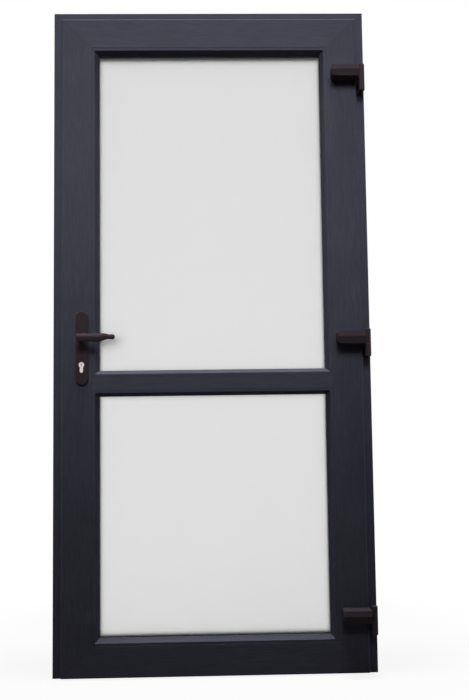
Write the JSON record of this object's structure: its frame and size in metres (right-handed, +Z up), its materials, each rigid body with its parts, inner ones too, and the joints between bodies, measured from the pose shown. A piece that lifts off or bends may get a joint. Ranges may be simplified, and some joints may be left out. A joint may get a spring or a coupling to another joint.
{
  "type": "glazed entrance door",
  "caption": "Anthracite laminated PVC entrance door in its frame, with satin double glazing above and below, a mid rail, a lever handle on a long plate, a cylinder lock and face-fixed hinges.",
  "frame": {"origin": "on the floor, in the middle of the frame's width and depth, under the threshold", "axes": "+X towards the hinge jamb, +Y through the doorway away from the side the leaf opens to, +Z up"},
  "size_m": [1, 0.186, 2.1],
  "materials": {
    "laminated_pvc": "foil-laminated PVC, anthracite, fine grain",
    "plain_pvc": "plain extruded PVC",
    "zinc_steel": "zinc-plated steel",
    "seal_rubber": "extruded EPDM",
    "anodised_aluminium": "natural anodised aluminium",
    "coated_metal": "brown-black powder coat on die-cast metal",
    "hinge_cap_plastic": "moulded brown-black plastic",
    "bush_plastic": "moulded acetal",
    "nickel": "satin nickel plate on brass",
    "satin_glass": "acid-etched satin float glass"
  },
  "bodies": {
    "frame": {"frame_head": "laminated_pvc", "frame_jamb_lock": "laminated_pvc", "frame_jamb_hinge": "laminated_pvc", "frame_steel": "zinc_steel", "frame_seal": "seal_rubber", "threshold_cover": "anodised_aluminium", "threshold_base": "plain_pvc", "strike_main": "zinc_steel", "strike_keeps": "zinc_steel", "hinge_pins": "zinc_steel", "hinge_frame_part_top": "coated_metal", "hinge_frame_part_middle": "coated_metal", "hinge_frame_part_bottom": "coated_metal"},
    "leaf": {"leaf_lock_stile": "laminated_pvc", "leaf_hinge_stile": "laminated_pvc", "leaf_top_rail": "laminated_pvc", "leaf_bottom_rail": "laminated_pvc", "mid_rail": "laminated_pvc", "leaf_steel": "zinc_steel", "leaf_seal": "seal_rubber", "spacers": "anodised_aluminium", "glazing_seals": "seal_rubber", "setting_blocks": "plain_pvc", "hinge_bushes": "bush_plastic", "lock_rail": "zinc_steel", "lock_case": "zinc_steel", "handle_plate_inside": "coated_metal", "handle_plate_outside": "coated_metal", "handle_bolts": "coated_metal", "cylinder_body": "nickel", "cylinder_screw": "zinc_steel", "bead_upper_lock": "laminated_pvc", "bead_upper_hinge": "laminated_pvc", "bead_upper_top": "laminated_pvc", "bead_upper_bottom": "laminated_pvc", "bead_lower_lock": "laminated_pvc", "bead_lower_hinge": "laminated_pvc", "bead_lower_top": "laminated_pvc", "bead_lower_bottom": "laminated_pvc", "glass_upper_inside": "satin_glass", "glass_upper_outside": "satin_glass", "glass_lower_inside": "satin_glass", "glass_lower_outside": "satin_glass", "hinge_leaf_part_top": "coated_metal", "hinge_leaf_part_middle": "coated_metal", "hinge_leaf_part_bottom": "coated_metal", "hinge_cover_top": "hinge_cap_plastic", "hinge_cover_middle": "hinge_cap_plastic", "hinge_cover_bottom": "hinge_cap_plastic"},
    "levers": {"lever_inside": "coated_metal", "lever_outside": "coated_metal", "spindle": "zinc_steel", "lock_follower": "zinc_steel"},
    "latch": {"latch_bolt": "zinc_steel"},
    "bolts": {"deadbolt": "zinc_steel", "side_bolts": "zinc_steel"},
    "key_inside": {"cylinder_plug_inside": "nickel", "cylinder_cam": "nickel"},
    "key_outside": {"cylinder_plug_outside": "nickel"}
  },
  "joints": [
    {"name": "door_swing", "type": "hinge", "parent": "frame", "child": "leaf", "pos_m": [0.486, -0.075, 1.033], "axis": [0, 0, 1], "range_deg": [0, 170]},
    {"name": "lever_turn", "type": "hinge", "parent": "leaf", "child": "levers", "pos_m": [-0.407, -0.026, 1.043], "axis": [0, 1, 0], "range_deg": [0, 38], "stiffness_Nm_per_rad": 2, "springref_deg": -28.65},
    {"name": "latch_slide", "type": "slide", "parent": "leaf", "child": "latch", "axis": [1, 0, 0], "range_m": [0, 0.0125]},
    {"name": "key_turn", "type": "hinge", "parent": "leaf", "child": "key_inside", "pos_m": [-0.407, -0.026, 0.958], "axis": [0, 1, 0], "range_deg": [0, 360]},
    {"name": "bolt_slide", "type": "slide", "parent": "leaf", "child": "bolts", "axis": [-1, 0, 0], "range_m": [0, 0.02]},
    {"name": "key_turn_outside", "type": "hinge", "parent": "leaf", "child": "key_outside", "pos_m": [-0.407, -0.026, 0.958], "axis": [0, 1, 0], "range_deg": [0, 360]}
  ],
  "couplings": [
    {"joint": "latch_slide", "follows": "lever_turn", "m_per_rad": 0.018},
    {"joint": "key_turn", "follows": "bolt_slide", "rad_per_m": 314.16}
  ]
}
